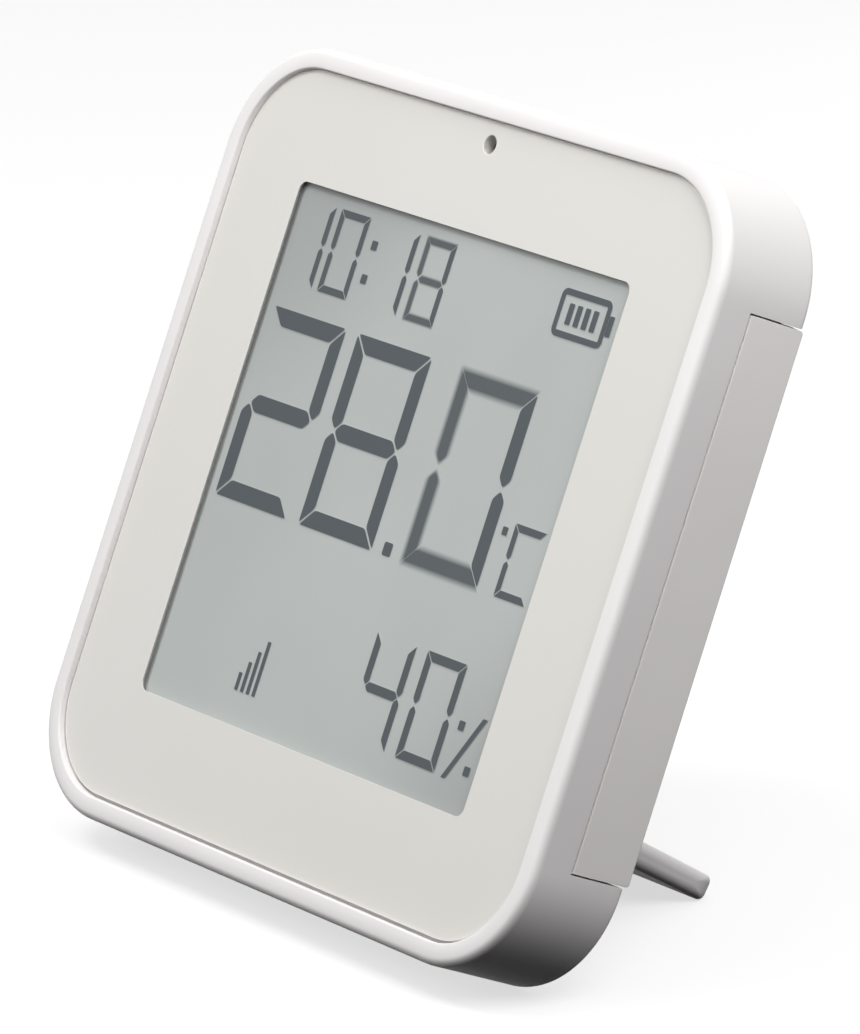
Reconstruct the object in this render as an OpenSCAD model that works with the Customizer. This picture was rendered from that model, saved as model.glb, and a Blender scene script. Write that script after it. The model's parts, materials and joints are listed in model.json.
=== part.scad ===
// Flat temperature and humidity sensor with a segment display, a rear cover that
// lifts off and a fold-out stand leg. It stands on the leg and leans back.
// Every piece is drawn lying on its back, face up, with X to the right, Y up the
// face and Z out of the face. stand_up() then sets the whole object on its leg.
// Depths are counted from the rim's front plane towards the back.

/* [Body] */
// Width of the body
body_w = 70; // [64:1:84]
// Height of the body
body_h = 70; // [66:1:84]
// Corner radius of the body, seen from the front
corner_r = 10.4; // [8:0.2:12]
// Width of the rim around the front panel
rim_w = 1.9; // [1.4:0.1:2.4]
// Thickness of the side walls
wall_t = 2.6; // [2.4:0.1:3.2]
// Rounding of the front edge
front_fillet = 0.6; // [0.3:0.1:1.2]
// Rounding of the back edge
back_fillet = 0.5; // [0.3:0.1:1.2]
// Rounding of the body's back edges next to the rear cover
end_round = 0.8; // [0.4:0.1:1]
// Width of the ledge that carries the front panel
ledge_w = 2.0; // [1.4:0.1:2.4]
// Thickness of that ledge
ledge_t = 1.0; // [0.8:0.1:1.2]
// Thickness of the body's back wall at its two ends
back_wall_t = 1.2; // [0.8:0.1:1.6]
// Thickness of the walls at the top and bottom of the rear bay
end_wall_t = 1.2; // [0.8:0.1:1.6]
// Thickness of the partition behind the circuit board
partition_t = 0.8; // [0.6:0.1:1.2]

/* [Front panel] */
// Thickness of the front panel
panel_t = 0.6; // [0.5:0.1:1.2]
// How far the panel lies below the rim
panel_recess = 0.45; // [0.3:0.05:0.7]
// Gap between the panel and the rim
panel_gap = 0.2; // [0.1:0.05:0.3]
// Rounding of the panel's front edge
panel_round = 0.25; // [0.15:0.05:0.4]
// Thickness of the adhesive frame under the panel
adhesive_t = 0.2; // [0.1:0.05:0.4]
// Width of the display window in the panel
window_w = 46.8; // [44:0.2:48]
// Height of the display window in the panel
window_h = 46.2; // [44:0.2:47]
// Height of the window's centre above the panel's centre
window_rise = 0.3; // [0:0.1:0.6]
// Corner radius of the window
window_r = 0.9; // [0.4:0.1:2]
// Diameter of the air port
port_d = 1.6; // [1.2:0.1:2]
// Distance of the air port from the top of the body
port_inset = 4.0; // [3.6:0.1:4.4]

/* [Display] */
// Thickness of each display glass
glass_t = 0.7; // [0.5:0.05:0.8]
// Thickness of the front polarizer
polarizer_t = 0.15; // [0.1:0.05:0.3]
// Thickness of the rear polarizer with its reflector
reflector_t = 0.25; // [0.15:0.05:0.4]
// How far the films reach past the window on each side
film_lap = 1.2; // [0.8:0.1:1.4]
// How far the glass reaches past the films on the left and right
glass_lip = 1.0; // [0.6:0.1:1.4]
// Height of the contact ledges at the top and bottom of the front glass
contact_ledge = 1.8; // [1.7:0.1:2]
// Thickness of the display segments
segment_t = 0.04; // [0.02:0.01:0.08]
// Thickness of the elastomer connector strips
zebra_t = 1.4; // [1.0:0.1:1.6]
// Length of the elastomer connector strips
zebra_len = 44; // [36:1:48]
// How far the holder's rim lies behind the front of the glass
holder_drop = 0.3; // [0.2:0.05:0.5]
// Wall of the display holder
holder_wall = 1.0; // [0.8:0.1:1.2]
// Floor of the display holder
holder_floor = 1.0; // [0.8:0.1:1.4]
// Width of the shelf that carries the display in its holder
holder_shelf = 4.0; // [3:0.5:5]

/* [Circuit board] */
// Thickness of the circuit board
pcb_t = 0.8; // [0.6:0.1:1.2]
// Room between the board and the partition
part_room = 0.9; // [0.85:0.05:1.4]
// Gap between the board's edge and the ledge
board_gap = 0.3; // [0.2:0.05:0.5]
// Width of the foam sleeve between the air port and the sensor chip
sleeve_w = 6; // [5:0.5:7]
// Wall of that sleeve
sleeve_wall = 0.5; // [0.4:0.1:0.8]
// Diameter of the screw shanks
screw_d = 1.2; // [1:0.1:1.6]
// Diameter of the screw heads
screw_head_d = 2.6; // [2:0.1:2.8]
// Height of the screw heads
screw_head_t = 0.6; // [0.4:0.1:0.8]
// Length of the screw shanks
screw_len = 3.0; // [2.6:0.1:3.4]
// Distance of the screws from the board's edge
screw_edge = 1.9; // [1.7:0.1:2]
// Height of the screws above and below the centre
screw_y = 18; // [14:1:20]
// Outer diameter of the screw bosses
boss_d = 3.8; // [3:0.1:4]

/* [Battery] */
// Diameter of the coin cell
cell_d = 20; // [16:0.1:20]
// Thickness of the coin cell
cell_t = 3.2; // [2.5:0.1:3.2]
// Height of the cell's centre above the body's centre
cell_y = 8; // [6:0.5:9]
// Thickness of the contact springs
contact_t = 0.15; // [0.1:0.05:0.2]
// Width of the contact springs
contact_w = 4; // [3:0.5:5]
// Reach of the contact springs over the cell
contact_reach = 5; // [4:0.5:6]
// Wall of the cell's holder ring
ring_wall = 1.2; // [0.8:0.1:1.4]
// Height of the cell's holder ring
ring_h = 1.3; // [1:0.1:1.4]

/* [Rear cover] */
// Thickness of the cover's back plate
cover_t = 1.2; // [1:0.1:1.6]
// Thickness of the cover's side wings
wing_t = 1.3; // [1.1:0.1:1.4]
// Depth of the side seam behind the rim
seam_depth = 3.9; // [3.5:0.1:4.5]
// Distance of the cover's ends from the start of the body's corners
seam_inset = 0.55; // [0.2:0.05:1]
// Gap along the seams
seam_gap = 0.15; // [0.1:0.05:0.25]
// Rounding of the cover's back edges
cover_round = 0.2; // [0.1:0.1:0.8]
// Floor of the tray that the leg folds into
tray_floor = 0.6; // [0.5:0.05:1]
// Side walls of that tray, which carry the hinge pin
tray_wall = 1.6; // [1.2:0.1:2]
// Width of the finger notch above the leg
notch_w = 14; // [10:1:18]
// Height of the finger notch above the leg
notch_h = 3.6; // [3:0.1:4]
// Width of the raised land for a mounting strip
land_w = 50; // [30:1:56]
// Height of the raised land for a mounting strip
land_h = 8; // [6:0.5:9]
// Height by which that land stands proud
land_t = 0.15; // [0.1:0.05:0.3]
// Diameter of the two guide posts
post_d = 2.2; // [1.8:0.1:2.6]

/* [Stand] */
// Width of the stand leg
leg_w = 32; // [24:1:36]
// Length of the leg from the hinge axis to its tip
leg_len = 27.6; // [24:0.2:28]
// Thickness of the leg at the hinge
leg_t = 2.6; // [2.2:0.1:2.8]
// Thickness of the leg at its tip
tip_t = 2.3; // [1.8:0.1:2.4]
// Rounding of the tip
tip_r = 0.7; // [0.4:0.1:0.8]
// Rounding of the tip's two corners, seen from behind
tip_corner_r = 1.2; // [0.8:0.1:3]
// Angle that the leg opens through
leg_open = 99; // [90:0.1:100]
// Height of the hinge axis above the bottom of the body
hinge_inset = 15.3; // [14.6:0.1:16]
// Diameter of the hinge pin
pin_d = 1.2; // [1:0.1:1.4]
// Radial running clearance of the leg on its pin
pin_clear = 0.05; // [0.02:0.01:0.1]
// Clearance under the folded leg
leg_clear = 0.25; // [0.2:0.05:0.4]
// Clearance beside the leg and round its ends
leg_side_clear = 0.35; // [0.3:0.05:0.5]

/* [Button] */
// Diameter of the set-up button
button_d = 5; // [4:0.1:6]
// Travel of the button
button_travel = 0.3; // [0.2:0.05:0.4]
// How far the button lies below the cover's back
button_sink = 0.1; // [0:0.05:0.3]
// Distance of the button from the centre line
button_x = 23; // [22:0.5:26]
// Height of the button above the body's centre
button_y = 2; // [0:0.5:6]
// Height of the switch body on the board
switch_h = 1.3; // [1:0.1:1.4]
// Height of the switch plunger above its body
plunger_h = 0.4; // [0.3:0.05:0.5]

/* [Hidden] */
$fn = 96;

// Small working clearances
fit_gap = 0.2;
stack_gap = 0.1;
play = 0.05;
optical_gap = 0.01;
over = 1;

// Width of the window that the display's segments are laid out for
layout_w = 46.8;

// Depths of the stack, from the rim's front plane
panel_front = panel_recess;
panel_back = panel_front + panel_t;
deck_d = panel_back + adhesive_t;
ledge_back = deck_d + ledge_t;
segment_front = panel_back + optical_gap;
polarizer_front = segment_front + segment_t;
glass_front = polarizer_front + polarizer_t;
glass_mid = glass_front + glass_t;
glass_back = glass_mid + glass_t;
reflector_back = glass_back + reflector_t;
holder_front = glass_front + holder_drop;
pcb_front = reflector_back + holder_floor;
pcb_back = pcb_front + pcb_t;
cell_front = reflector_back + contact_t + stack_gap;
cell_back = cell_front + cell_t;
partition_front = pcb_back + part_room;
partition_back = max(partition_front + partition_t, cell_back + stack_gap / 2);
tray_front = partition_back + contact_t + stack_gap;
tray_back = tray_front + tray_floor;
cover_back = tray_back + leg_clear + leg_t;
cover_in = cover_back - cover_t;
body_d = cover_back;
end_in = body_d - back_wall_t;
skirt_back = cover_in - fit_gap;

// Places and sizes on the face
bay_half = body_h / 2 - corner_r - seam_inset;
cover_half = bay_half - seam_gap;
port_y = body_h / 2 - port_inset;
film_w = window_w + 2 * film_lap;
film_h = window_h + 2 * film_lap;
glass_w = film_w + 2 * glass_lip;
glass_h = film_h + 2 * contact_ledge;
zebra_y = film_h / 2 + contact_ledge / 2;
board_inset = rim_w + ledge_w + board_gap;
pcb_w = body_w - 2 * board_inset;
pcb_h = body_h - 2 * board_inset;
screw_x = pcb_w / 2 - screw_edge;
sleeve_low = window_rise + glass_h / 2 + holder_wall + 2 * fit_gap;
sleeve_top = body_h / 2 - rim_w - fit_gap - stack_gap;
sleeve_h = sleeve_top - sleeve_low;
sleeve_y = (sleeve_top + sleeve_low) / 2;
sleeve_r = sleeve_wall + 0.3;
hinge_y = -body_h / 2 + hinge_inset;
hinge_d = cover_back - leg_t / 2;
tray_low = hinge_y - leg_t / 2 - leg_side_clear;
tray_top = hinge_y + leg_len + leg_side_clear;
tray_half = leg_w / 2 + leg_side_clear;
land_y = (tray_top + notch_h + cover_half) / 2;
ring_r = cell_d / 2 + fit_gap;
post_x = 24;
post_y = -14;
switch_w = 4.5;
plunger_d = 2.2;
switch_top = pcb_back + switch_h + plunger_h;
button_flange_d = button_d + 7 * fit_gap;
button_flange_t = 0.35;
button_back = cover_back - button_sink;
button_foot = switch_top + button_travel + play;
contact_slot_w = contact_w + 2;
contact_foot = 1.6;
radio_x = -pcb_w / 2 + 13.8;
row_y = -pcb_h / 2 + 8.3;

// Lean of the standing object: the floor touches the rounded back edge of the
// body's bottom and the lower rounding of the leg's tip
leg_drop = leg_open - 90;
edge_y = -body_h / 2 + back_fillet;
edge_d = body_d - back_fillet;
tip_reach = leg_len - tip_r;
tip_half = tip_t / 2 - tip_r;
foot_y = hinge_y - tip_reach * sin(leg_drop) - tip_half * cos(leg_drop);
foot_d = hinge_d + tip_reach * cos(leg_drop) - tip_half * sin(leg_drop);
heel_y = hinge_y - tip_reach * sin(leg_drop) + tip_half * cos(leg_drop);
heel_d = hinge_d + tip_reach * cos(leg_drop) + tip_half * sin(leg_drop);
span = norm([foot_y - edge_y, foot_d - edge_d]);
lean = atan2(foot_y - edge_y, foot_d - edge_d) - asin((tip_r - back_fillet) / span);
low_z = edge_y * cos(lean) - edge_d * sin(lean) - back_fillet;
near_y = (-body_h / 2 + front_fillet) * sin(lean) + front_fillet * cos(lean) - front_fillet;
top_y = -edge_y * sin(lean) + edge_d * cos(lean) + back_fillet;
far_y = max(top_y, heel_y * sin(lean) + heel_d * cos(lean) + tip_r);

module stand_up() {
    translate([0, -(near_y + far_y) / 2, -low_z]) rotate([90 - lean, 0, 0]) children();
}

// A flat outline made solid between two depths
module layer(near, far) {
    translate([0, 0, -far]) linear_extrude(far - near) children();
}

module round_rect(w, h, r) {
    square([w - 2 * r, h], center = true);
    square([w, h - 2 * r], center = true);
    for (sx = [-1, 1], sy = [-1, 1])
        translate([sx * (w / 2 - r), sy * (h / 2 - r)]) circle(r);
}

// The body's outline drawn in by some distance
module body_outline(inset) {
    round_rect(body_w - 2 * inset, body_h - 2 * inset, corner_r - inset);
}

// Section of an edge: x runs inwards from the side, y runs down from the front
module edge_section(reach, depth, rf, rb) {
    translate([max(rf, rb), -depth]) square([reach - max(rf, rb), depth]);
    translate([0, rb - depth]) square([reach, depth - rf - rb]);
    translate([rf, -rf]) square([reach - rf, rf]);
    translate([rb, -depth]) square([reach - rb, rb]);
    translate([rf, -rf]) circle(rf);
    translate([rb, rb - depth]) circle(rb);
}

// Rounded rectangular slab with its front and back edges rounded
module filleted_slab(w, h, r, depth, rf, rb) {
    for (q = [0:3]) {
        along = q % 2 == 0 ? h - 2 * r : w - 2 * r;
        across = q % 2 == 0 ? w / 2 : h / 2;
        sx = q == 0 || q == 3 ? 1 : -1;
        sy = q < 2 ? 1 : -1;
        translate([sx * (w / 2 - r), sy * (h / 2 - r), 0]) rotate(90 * q)
            rotate_extrude(angle = 90) translate([r, 0]) mirror([1, 0])
                edge_section(r, depth, rf, rb);
        rotate(90 * q) translate([across, along / 2, 0]) rotate([90, 0, 0])
            linear_extrude(along) mirror([1, 0]) edge_section(r, depth, rf, rb);
    }
    core = (r + max(rf, rb)) / 2;
    layer(0, depth) round_rect(w - 2 * core, h - 2 * core, r - core);
}

module at_screws() {
    for (sx = [-1, 1], sy = [-1, 1]) translate([sx * screw_x, sy * screw_y]) children();
}

module at_posts() {
    for (sx = [-1, 1]) translate([sx * post_x, post_y]) children();
}

// Outline of the foam sleeve, grown by some distance
module sleeve_outline(grow) {
    translate([0, sleeve_y]) round_rect(sleeve_w + 2 * grow, sleeve_h + 2 * grow, sleeve_r + grow);
}

// What is cut off to round the back edge of the body's upper end, next to the cover
module end_rounding() {
    translate([-body_w / 2 - over, bay_half, -body_d]) rotate([90, 0, 90])
        linear_extrude(body_w + 2 * over) difference() {
            translate([-over, -over]) square(end_round + over);
            translate([end_round, end_round]) circle(end_round);
        }
}

// Casing with the rim, the panel's ledge, the partition and the two closed ends
module front_housing() color("#f0eeec") stand_up() difference() {
    union() {
        difference() {
            filleted_slab(body_w, body_h, corner_r, body_d, front_fillet, back_fillet);
            layer(-over, deck_d) body_outline(rim_w);
            layer(0, partition_front) body_outline(rim_w + ledge_w);
            layer(ledge_back, partition_front) body_outline(wall_t);
            for (sy = [-1, 1]) layer(ledge_back, end_in) intersection() {
                body_outline(wall_t);
                translate([0, sy * (bay_half + end_wall_t + body_h / 2)])
                    square([body_w, body_h], center = true);
            }
            for (sx = [-1, 1]) layer(seam_depth, body_d + over)
                translate([sx * (body_w / 2 + over), 0])
                    square([2 * (wing_t + seam_gap + over), 2 * bay_half], center = true);
            layer(partition_back, body_d + over)
                square([body_w - 2 * wall_t, 2 * bay_half], center = true);
            layer(skirt_back, body_d + over)
                square([body_w + 2 * over, 2 * bay_half], center = true);
        }
        layer(pcb_back, pcb_back + screw_len) at_screws() circle(d = boss_d);
    }
    layer(pcb_back - over, pcb_front + screw_len + fit_gap) at_screws() circle(d = screw_d + 2 * play);
    layer(0, pcb_back + fit_gap) sleeve_outline(fit_gap);
    for (side = [0, 1]) mirror([0, side, 0]) end_rounding();
    layer(partition_front - over, partition_back + over) {
        translate([0, cell_y]) circle(ring_r + ring_wall + fit_gap);
        translate([0, cell_y + ring_r + ring_wall])
            square([contact_slot_w, contact_reach], center = true);
        translate([button_x, button_y]) square(switch_w + 4 * fit_gap, center = true);
        at_posts() circle(d = post_d + 3 * fit_gap);
    }
}

// Glossy sheet with the display window and the air port, glued on the ledge
module front_panel() color("#e2e0da") stand_up() difference() {
    inset = rim_w + panel_gap;
    translate([0, 0, -panel_front])
        filleted_slab(body_w - 2 * inset, body_h - 2 * inset, corner_r - inset, panel_t, panel_round, play);
    layer(0, panel_back + over) {
        translate([0, port_y]) circle(d = port_d);
        translate([0, window_rise]) round_rect(window_w, window_h, window_r);
    }
}

module panel_adhesive() color("#d8d6d0") stand_up() layer(panel_back, deck_d) difference() {
    body_outline(rim_w + panel_gap + fit_gap);
    body_outline(rim_w + ledge_w);
    sleeve_outline(fit_gap);
}

// Foam sleeve that leads air from the port to the sensor chip
module sensor_gasket() color("#4a4a4c") stand_up() layer(panel_back, pcb_front) difference() {
    sleeve_outline(0);
    sleeve_outline(-sleeve_wall);
}

// One seven-segment digit: w and h are its size, s its stroke
module digit(value, w, h, s) {
    lit = ["1110111", "0010010", "1011101", "1011011", "0111010",
           "1101011", "1101111", "1010010", "1111111", "1111011"][value];
    g = s * 0.08;
    m = h / 2;
    flat = [[g, h], [w - g, h], [w - s - g, h - s], [s + g, h - s]];
    upright = [[0, h - g], [s, h - s - g], [s, m + s / 2 + g], [s / 2, m + g], [0, m + s / 2 + g]];
    bar = [[s / 2 + g, m], [s + g, m + s / 2], [w - s - g, m + s / 2],
           [w - s / 2 - g, m], [w - s - g, m - s / 2], [s + g, m - s / 2]];
    if (lit[0] == "1") polygon(flat);
    if (lit[1] == "1") polygon(upright);
    if (lit[2] == "1") translate([w, 0]) mirror([1, 0]) polygon(upright);
    if (lit[3] == "1") polygon(bar);
    if (lit[4] == "1") translate([0, h]) mirror([0, 1]) polygon(upright);
    if (lit[5] == "1") translate([w, h]) rotate(180) polygon(upright);
    if (lit[6] == "1") translate([0, h]) mirror([0, 1]) polygon(flat);
}

module dot(x, y, size) {
    translate([x, y]) square(size, center = true);
}

// Segments that are switched on: a time, a temperature, a humidity and icons
module lcd_segments() color("#545c62") stand_up() layer(segment_front, polarizer_front)
    translate([0, window_rise]) scale(window_w / layout_w) {
        // time
        time_y = 14.4;
        for (p = [[1, -22.35], [0, -17.3], [1, -10.1], [8, -4.85]])
            translate([p[1], time_y]) digit(p[0], 4.25, 7.4, 0.6);
        dot(-11.5, 19.6, 0.8);
        dot(-11.5, 16.6, 0.8);
        // temperature
        main_y = -5;
        for (p = [[2, -22.3], [8, -9.9], [0, 5]])
            translate([p[1], main_y]) digit(p[0], 10.65, 17.1, 1.55);
        dot(2.8, main_y + 0.6, 1.2);
        dot(16.9, 0.4, 0.7);
        difference() {
            translate([18, main_y]) digit(0, 4.3, 6.35, 0.6);
            translate([21.85, main_y - 1]) square([2, 9]);
        }
        // humidity
        damp_y = -20.5;
        for (p = [[4, 5], [0, 12.1]])
            translate([p[1], damp_y]) digit(p[0], 5.55, 9.4, 0.75);
        dot(19.25, -16, 0.8);
        dot(21.65, -19.4, 0.8);
        polygon([[18.7, -20.6], [19.15, -20.6], [22.2, -14.8], [21.75, -14.8]]);
        // battery
        translate([18, 19.15]) {
            difference() {
                round_rect(6.8, 4.1, 0.7);
                round_rect(5.8, 3.1, 0.3);
            }
            for (i = [0:3]) translate([-1.65 + 1.1 * i, 0]) square([0.7, 1.8], center = true);
            translate([3.75, 0]) square([0.5, 1.7], center = true);
        }
        // signal strength
        for (i = [0:3]) translate([-11.4 + 0.85 * i, -20.2]) square([0.5, 1.6 + 1.1 * i]);
    }

module lcd_sheet(near, far, w, h) {
    layer(near, far) translate([0, window_rise]) square([w, h], center = true);
}

module lcd_front_polarizer() color("#b7bcbb") stand_up()
    lcd_sheet(polarizer_front, glass_front, film_w, film_h);

module lcd_front_glass() color("#c8d4d2") stand_up() lcd_sheet(glass_front, glass_mid, glass_w, glass_h);

module lcd_rear_glass() color("#c0ceca") stand_up() lcd_sheet(glass_mid, glass_back, glass_w, film_h);

module lcd_reflector() color("#a9aeac") stand_up()
    lcd_sheet(glass_back, reflector_back, film_w, film_h - fit_gap);

// Tray that holds the display on the board and guides the connector strips
module lcd_holder() color("#e6e6e2") stand_up() difference() {
    rim = 2 * (fit_gap + holder_wall);
    lcd_sheet(holder_front, pcb_front, glass_w + rim, glass_h + rim);
    lcd_sheet(0, reflector_back, glass_w + 2 * fit_gap, glass_h + 2 * fit_gap);
    lcd_sheet(0, pcb_front + over, film_w - 2 * holder_shelf, film_h - 2 * holder_shelf);
    for (sy = [-1, 1]) translate([0, sy * zebra_y, 0])
        lcd_sheet(0, pcb_front + over, zebra_len + fit_gap, zebra_t + fit_gap);
    layer(pcb_front - screw_head_t - stack_gap, pcb_front + over)
        at_screws() circle(d = screw_head_d + 2 * fit_gap);
}

module zebra_strip(side) {
    translate([0, side * zebra_y, 0]) lcd_sheet(glass_mid, pcb_front, zebra_len, zebra_t);
}

module zebra_strip_top() color("#d6a9a0") stand_up() zebra_strip(1);

module zebra_strip_bottom() color("#d6a9a0") stand_up() zebra_strip(-1);

module main_pcb() color("#2f6b46") stand_up() layer(pcb_front, pcb_back) difference() {
    union() {
        body_outline(board_inset);
        sleeve_outline(0);
    }
    translate([0, cell_y]) circle(ring_r);
    at_screws() circle(d = screw_d + 2 * fit_gap);
}

module pcb_screws() color("#b9bcc0") stand_up() at_screws() {
    layer(pcb_front - screw_head_t, pcb_front) difference() {
        circle(d = screw_head_d);
        for (a = [0, 90]) rotate(a) square([screw_head_d * 0.6, 0.35], center = true);
    }
    layer(pcb_front, pcb_front + screw_len) circle(d = screw_d);
}

module chip(x, y, w, h, t) {
    layer(pcb_back, pcb_back + t) translate([x, y]) square([w, h], center = true);
}

module climate_sensor_chip() color("#2a2a2c") stand_up() difference() {
    layer(pcb_front - 0.5, pcb_front) translate([0, sleeve_y]) square(1.5, center = true);
    layer(0, pcb_front - 0.4) translate([0, sleeve_y]) circle(d = 0.8);
}

module radio_chip() color("#26262a") stand_up() chip(radio_x, row_y + 11.5, 5, 5, 0.75);

module lcd_driver_chip() color("#26262a") stand_up() chip(13, row_y + 9.5, 7, 7, 0.75);

module crystal() color("#c6c8cc") stand_up() chip(radio_x, row_y + 6.5, 3.2, 1.5, 0.7);

module chip_antenna() color("#d9d4c4") stand_up() chip(radio_x - 3, -pcb_h / 2 + 1.6, 5, 1.6, 0.8);

module chip_capacitors() color("#b99a6b") stand_up()
    for (i = [0:5]) chip(-10 + 4 * i, row_y + 2, 1.6, 0.8, 0.7);

module chip_resistors() color("#3a3a3c") stand_up()
    for (i = [0:5]) chip(-10 + 4 * i, row_y, 1, 0.5, 0.4);

module tact_switch() color("#8c8f93") stand_up() translate([button_x, button_y]) {
    layer(pcb_back, pcb_back + switch_h) square(switch_w, center = true);
    layer(pcb_back + switch_h, switch_top) circle(d = plunger_d);
}

// Ring that keeps the coin cell in the board's cut-out
module battery_holder() color("#3c3c40") stand_up() layer(pcb_back, pcb_back + ring_h)
    translate([0, cell_y]) difference() {
        circle(ring_r + ring_wall);
        circle(ring_r);
        translate([0, ring_r]) square([contact_slot_w, contact_slot_w], center = true);
    }

module coin_cell() color("#c9ccd0") stand_up() translate([0, cell_y, 0]) {
    step = 0.3;
    layer(cell_front, cell_front + step) circle(cell_d / 2 - 1.3);
    layer(cell_front + step, cell_back) circle(cell_d / 2);
}

module contact_positive() color("#d3b86a") stand_up() {
    base_y = cell_y + ring_r + ring_wall + fit_gap;
    half = contact_w / 2;
    layer(pcb_back, pcb_back + contact_t) translate([-half, base_y]) square([contact_w, contact_foot]);
    layer(pcb_back, cell_back + contact_t) translate([-half, base_y]) square([contact_w, contact_t]);
    layer(cell_back, cell_back + contact_t) translate([-half, base_y - contact_reach])
        square([contact_w, contact_reach + contact_t]);
}

module contact_negative() color("#d3b86a") stand_up() {
    base_x = ring_r + 3 * fit_gap;
    low = cell_y - contact_w / 2;
    plate = cell_front - contact_t;
    layer(plate, cell_front) translate([-contact_reach, low]) square([base_x + contact_reach, contact_w]);
    layer(plate, pcb_front) translate([base_x - contact_t, low]) square([contact_t, contact_w]);
    layer(pcb_front - contact_t, pcb_front) translate([base_x - contact_t, low])
        square([contact_foot, contact_w]);
}

// Channel-shaped section of the cover: a back plate with a wing on each side
module cover_section() {
    front = seam_depth + seam_gap;
    r = cover_round;
    difference() {
        union() {
            translate([-body_w / 2, r - cover_back]) square([body_w, cover_back - front - r]);
            translate([r - body_w / 2, -cover_back]) square([body_w - 2 * r, cover_back - front]);
            for (sx = [-1, 1]) translate([sx * (body_w / 2 - r), r - cover_back]) circle(r);
        }
        translate([wing_t - body_w / 2, -cover_in]) square([body_w - 2 * wing_t, cover_back]);
    }
}

// Outline of the leg's tray with its finger notch, grown by some distance
module tray_outline(grow_x, grow_y) {
    translate([-tray_half - grow_x, tray_low - grow_y])
        square([2 * (tray_half + grow_x), tray_top - tray_low + 2 * grow_y]);
    translate([-notch_w / 2 - grow_y, tray_low])
        square([notch_w + 2 * grow_y, tray_top + notch_h + grow_y - tray_low]);
}

// The leg's pin runs along X through the hinge axis
module along_hinge(length, d) {
    translate([-length / 2, hinge_y, -hinge_d]) rotate([0, 90, 0]) cylinder(d = d, h = length);
}

module rear_cover() color("#eceae8") stand_up() difference() {
    union() {
        translate([0, cover_half, 0]) rotate([90, 0, 0]) linear_extrude(2 * cover_half) cover_section();
        layer(tray_front, cover_back) tray_outline(tray_wall, 1);
        layer(cover_back - over, cover_back + land_t) translate([0, land_y])
            square([land_w, land_h], center = true);
        layer(partition_front + fit_gap, cover_back - over / 2) at_posts() circle(d = post_d);
    }
    layer(tray_back, cover_back + over) tray_outline(0, 0);
    layer(cover_in - over, cover_back + over) translate([button_x, button_y])
        circle(d = button_d + 2 * seam_gap);
    along_hinge(2 * (tray_half + tray_wall), pin_d);
}

module setup_button() color("#d9d7d4") stand_up() translate([button_x, button_y]) {
    flange_back = cover_in - stack_gap;
    layer(flange_back - button_flange_t, button_back) circle(d = button_d);
    layer(flange_back - button_flange_t, flange_back) circle(d = button_flange_d);
    layer(button_foot, flange_back) circle(d = plunger_d);
}

// Side section of the leg, folded: x runs along it, y towards the body's front
module leg_section() {
    circle(leg_t / 2);
    polygon([[0, -leg_t / 2], [tip_reach, -tip_t / 2], [tip_reach, tip_t / 2], [0, leg_t / 2]]);
    translate([tip_reach, -tip_half]) square([tip_r, 2 * tip_half]);
    for (side = [-1, 1]) translate([tip_reach, side * tip_half]) circle(tip_r);
}

// Swings what is drawn folded, along Y from the hinge, out to the opened leg
module opened() {
    translate([0, hinge_y, -hinge_d]) rotate([-leg_open, 0, 0]) children();
}

module stand_leg() color("#dddbd9") stand_up() difference() {
    opened() intersection() {
        rotate([0, 0, 90]) rotate([90, 0, 0]) translate([0, 0, -leg_w / 2])
            linear_extrude(leg_w) leg_section();
        layer(-leg_t, leg_t) translate([0, leg_len / 2 - leg_t])
            round_rect(leg_w, leg_len + 2 * leg_t, tip_corner_r);
    }
    along_hinge(leg_w + 2 * over, pin_d + 2 * pin_clear);
}

module hinge_pin() color("#c2c5c9") stand_up() along_hinge(2 * (tray_half + tray_wall), pin_d);

front_housing();
front_panel();
panel_adhesive();
sensor_gasket();
lcd_segments();
lcd_front_polarizer();
lcd_front_glass();
lcd_rear_glass();
lcd_reflector();
lcd_holder();
zebra_strip_top();
zebra_strip_bottom();
main_pcb();
pcb_screws();
climate_sensor_chip();
radio_chip();
lcd_driver_chip();
crystal();
chip_antenna();
chip_capacitors();
chip_resistors();
tact_switch();
battery_holder();
coin_cell();
contact_positive();
contact_negative();
rear_cover();
setup_button();
stand_leg();
hinge_pin();
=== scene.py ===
# %% [markdown]
# # A temperature and humidity sensor that leans on its own leg
# The CAD part is the frame of this scene: it says where everything is and how it moves.
# This notebook dresses it. The shells that catch the light are worked out again as smooth
# surfaces, the display gets its ink, and every inner piece gets a finish of its own.

# %% Load the frame
import json
import math

import bmesh
import bpy
import numpy as np
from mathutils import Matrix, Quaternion, Vector
from mathutils.geometry import delaunay_2d_cdt


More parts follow.
